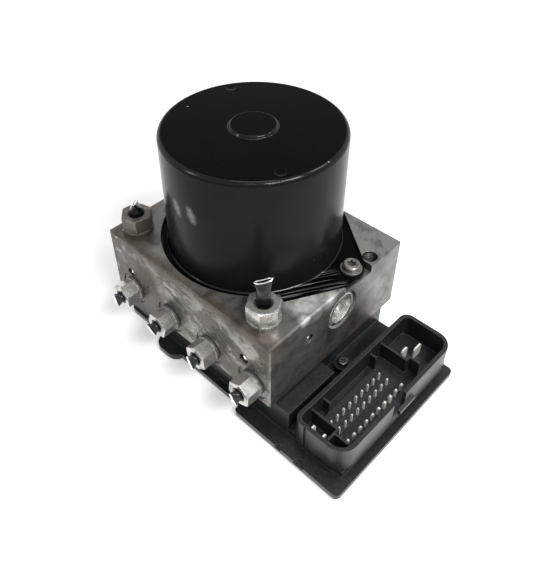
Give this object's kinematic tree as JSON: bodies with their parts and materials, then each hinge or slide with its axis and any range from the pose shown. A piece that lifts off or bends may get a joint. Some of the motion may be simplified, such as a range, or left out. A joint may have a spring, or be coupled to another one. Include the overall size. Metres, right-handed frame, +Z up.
{
  "type": "anti-lock brake hydraulic unit",
  "caption": "Anti-lock brake unit: black pump motor on a machined valve block with tube nuts and cut pipe stubs, over a plastic control unit with an open multi-pin connector.",
  "frame": {"origin": "on the pump motor's axis, at the underside of the control unit's cover", "axes": "+X towards the connector, -Y towards the outlet pipes, +Z up along the motor"},
  "size_m": [0.1442, 0.1027, 0.1143],
  "materials": {
    "machined_aluminium": "milled aluminium, grey-brown road film and fine scratches",
    "black_can_paint": "satin black coating with soft reflections and fine dust",
    "zinc_steel": "zinc plated steel, dulled, with grime in the corners",
    "plug_metal": "turned and staked metal plugs and balls",
    "black_pipe": "black coated steel tube, bright where it was cut",
    "black_plastic": "black moulded plastic, satin, slightly dusty",
    "phenolic_board": "brown phenolic plate",
    "seal_rubber": "black sealing rubber",
    "circuit_green": "green circuit board",
    "tinned_contacts": "bright tinned contacts",
    "ferrite": "dark ferrite",
    "lamination_steel": "stacked steel sheets",
    "copper": "enamelled and bare copper",
    "carbon": "pressed carbon",
    "ground_steel": "ground bearing steel",
    "spring_steel": "oiled spring wire",
    "coil_winding": "moulded coils"
  },
  "bodies": {
    "hydraulic_unit": {"hydraulic_block": "machined_aluminium", "motor_can": "black_can_paint", "magnets": "ferrite", "end_shield": "zinc_steel", "motor_screws": "zinc_steel", "upper_bearing": "ground_steel", "lower_bearing": "ground_steel", "brush_holder": "phenolic_board", "brushes": "carbon", "brush_springs": "spring_steel", "pump_spring_left": "spring_steel", "pump_spring_right": "spring_steel", "pump_plug_left": "plug_metal", "pump_plug_right": "plug_metal", "accumulator_spring_left": "spring_steel", "accumulator_spring_right": "spring_steel", "accumulator_caps": "zinc_steel", "inlet_nut_left": "zinc_steel", "inlet_nut_right": "zinc_steel", "inlet_pipe_left": "black_pipe", "inlet_pipe_right": "black_pipe", "outlet_nut_1": "zinc_steel", "outlet_nut_2": "zinc_steel", "outlet_nut_3": "zinc_steel", "outlet_nut_4": "zinc_steel", "outlet_pipe_1": "black_pipe", "outlet_pipe_2": "black_pipe", "outlet_pipe_3": "black_pipe", "outlet_pipe_4": "black_pipe", "ball_plugs": "plug_metal", "inlet_valves": "ground_steel", "outlet_valves": "ground_steel", "valve_coils": "coil_winding", "terminal_sleeve": "black_plastic", "motor_terminals": "tinned_contacts", "ecu_housing": "black_plastic", "ecu_gasket": "seal_rubber", "circuit_board": "circuit_green", "ecu_cover": "black_plastic", "housing_screw": "zinc_steel", "signal_pins_inner": "tinned_contacts", "signal_pins_outer": "tinned_contacts", "power_blades": "tinned_contacts"},
    "rotor": {"motor_shaft": "ground_steel", "armature_core": "lamination_steel", "armature_windings": "copper", "commutator": "copper", "eccentric_bearing": "ground_steel"},
    "left_piston": {"pump_piston_left": "ground_steel"},
    "right_piston": {"pump_piston_right": "ground_steel"},
    "left_store": {"accumulator_piston_left": "ground_steel"},
    "right_store": {"accumulator_piston_right": "ground_steel"}
  },
  "joints": [
    {"name": "rotor_spin", "type": "hinge", "parent": "hydraulic_unit", "child": "rotor", "pos_m": [0, 0, 0.08], "axis": [0, 0, 1], "continuous": true},
    {"name": "left_pump_stroke", "type": "slide", "parent": "hydraulic_unit", "child": "left_piston", "axis": [-1, 0, 0], "range_m": [0, 0.003], "stiffness_N_per_m": 300, "springref_m": -0.003, "deforming": ["pump_spring_left"]},
    {"name": "right_pump_stroke", "type": "slide", "parent": "hydraulic_unit", "child": "right_piston", "axis": [1, 0, 0], "range_m": [0, 0.003], "stiffness_N_per_m": 300, "springref_m": -0.003, "deforming": ["pump_spring_right"]},
    {"name": "left_store_stroke", "type": "slide", "parent": "hydraulic_unit", "child": "left_store", "axis": [0, 0, 1], "range_m": [-0.005, 0], "stiffness_N_per_m": 400, "springref_m": 0.005, "deforming": ["accumulator_spring_left"]},
    {"name": "right_store_stroke", "type": "slide", "parent": "hydraulic_unit", "child": "right_store", "axis": [0, 0, 1], "range_m": [-0.005, 0], "stiffness_N_per_m": 400, "springref_m": 0.005, "deforming": ["accumulator_spring_right"]}
  ]
}
